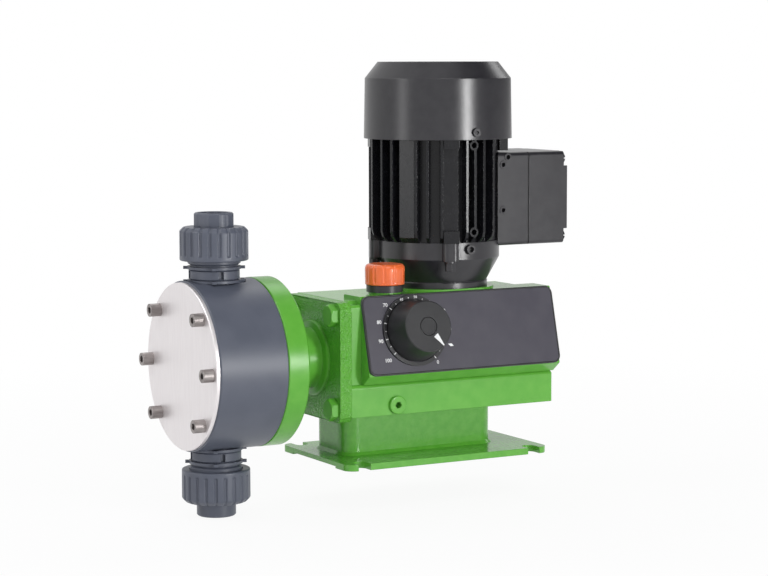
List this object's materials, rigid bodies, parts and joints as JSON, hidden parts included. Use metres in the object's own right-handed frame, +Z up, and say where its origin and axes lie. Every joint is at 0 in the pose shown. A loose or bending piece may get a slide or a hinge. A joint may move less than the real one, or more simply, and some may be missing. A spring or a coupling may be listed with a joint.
{
  "type": "diaphragm metering pump",
  "caption": "Motor-driven diaphragm metering pump: upright finned motor on a green gear housing with stroke knob, round plastic head and pipe unions above and below.",
  "frame": {"origin": "centre of the underside of the base plate, on the floor it is screwed to", "axes": "+Z up along the motor, -X to the pump head, -Y to the side with the knob"},
  "size_m": [0.3488, 0.148, 0.3606],
  "materials": {
    "green_paint": "glossy, hammered",
    "black_paint": "satin",
    "black_plastic": "satin",
    "panel_black": "satin film",
    "grey_pvc": "satin",
    "orange_plastic": "glossy",
    "white_mark": "matte",
    "stainless": "brushed",
    "steel": "zinc plated",
    "bronze": "machined",
    "copper": "enamelled wire",
    "laminated_steel": "laminated",
    "ceramic": "polished",
    "rubber": "matte",
    "aluminium": "machined"
  },
  "bodies": {
    "frame": {"base_frame": "green_paint", "foot_screws": "steel", "gear_housing": "green_paint", "drain_plug": "green_paint", "vent_collar": "black_plastic", "operating_panel": "panel_black", "scale_ring": "black_plastic", "lantern": "green_paint", "flange_bolts": "green_paint", "cover_plate": "stainless", "head_screws": "steel", "dosing_head": "grey_pvc", "diaphragm": "rubber", "return_spring": "steel", "guide_bushes": "bronze", "union_seals": "rubber", "valve_seats": "ceramic", "ball_stops": "grey_pvc", "shaft_bearings": "steel", "lower_bearing": "steel", "shaft_seal": "rubber", "motor_adapter": "black_paint", "shield_bolts": "black_paint", "motor_housing": "black_paint", "stator_core": "laminated_steel", "stator_windings": "copper", "motor_bearings": "steel", "top_shield": "black_paint", "fan_cowl": "black_paint", "cowl_screws": "black_paint", "terminal_box": "black_paint", "terminal_board": "black_plastic", "lid_gasket": "rubber", "terminal_lid": "black_paint", "lid_screws": "black_paint", "cable_entry_plug": "black_plastic", "suction_valve_body": "grey_pvc", "suction_insert": "grey_pvc", "discharge_valve_body": "grey_pvc", "discharge_insert": "grey_pvc"},
    "motor_rotor": {"motor_shaft": "steel", "worm": "steel", "rotor_core": "laminated_steel", "cooling_fan": "black_plastic"},
    "gear_shaft": {"worm_wheel": "bronze", "eccentric_shaft": "steel"},
    "tappet": {"push_rod": "steel", "diaphragm_clamp": "aluminium"},
    "stroke_knob": {"adjusting_knob": "black_plastic", "knob_cap": "black_plastic", "knob_pointer": "white_mark", "adjusting_spindle": "steel"},
    "vent_screw_cap": {"vent_cap": "orange_plastic"},
    "suction_union_nut": {"suction_nut": "grey_pvc"},
    "discharge_union_nut": {"discharge_nut": "grey_pvc"},
    "suction_valve_ball": {"suction_ball": "ceramic"},
    "discharge_valve_ball": {"discharge_ball": "ceramic"}
  },
  "joints": [
    {"name": "motor_turn", "type": "hinge", "parent": "frame", "child": "motor_rotor", "pos_m": [0.0225, 0, 0.0857], "axis": [0, 0, 1], "continuous": true},
    {"name": "gear_turn", "type": "hinge", "parent": "frame", "child": "gear_shaft", "pos_m": [-0.0075, 0, 0.0857], "axis": [0, 1, 0], "continuous": true},
    {"name": "tappet_stroke", "type": "slide", "parent": "frame", "child": "tappet", "axis": [-1, 0, 0], "range_m": [0, 0.004], "stiffness_N_per_m": 4000, "deforming": ["return_spring", "diaphragm"]},
    {"name": "knob_turn", "type": "hinge", "parent": "frame", "child": "stroke_knob", "pos_m": [-0.0295, -0.05155, 0.10888], "axis": [0, -0.9688, 0.2478], "range_deg": [0, 250]},
    {"name": "vent_cap_turn", "type": "hinge", "parent": "frame", "child": "vent_screw_cap", "pos_m": [-0.044, -0.0285, 0.15], "axis": [0, 0, 1], "range_deg": [0, 360]},
    {"name": "suction_nut_turn", "type": "hinge", "parent": "frame", "child": "suction_union_nut", "pos_m": [-0.1829, 0, -0.0113], "axis": [0, 0, -1], "range_deg": [0, 360]},
    {"name": "discharge_nut_turn", "type": "hinge", "parent": "frame", "child": "discharge_union_nut", "pos_m": [-0.1829, 0, 0.1827], "axis": [0, 0, 1], "range_deg": [0, 360]},
    {"name": "suction_ball_lift", "type": "slide", "parent": "frame", "child": "suction_valve_ball", "axis": [0, 0, 1], "range_m": [0, 0.004]},
    {"name": "discharge_ball_lift", "type": "slide", "parent": "frame", "child": "discharge_valve_ball", "axis": [0, 0, 1], "range_m": [0, 0.004]}
  ],
  "couplings": [
    {"joint": "gear_turn", "follows": "motor_turn", "ratio": 0.05}
  ]
}
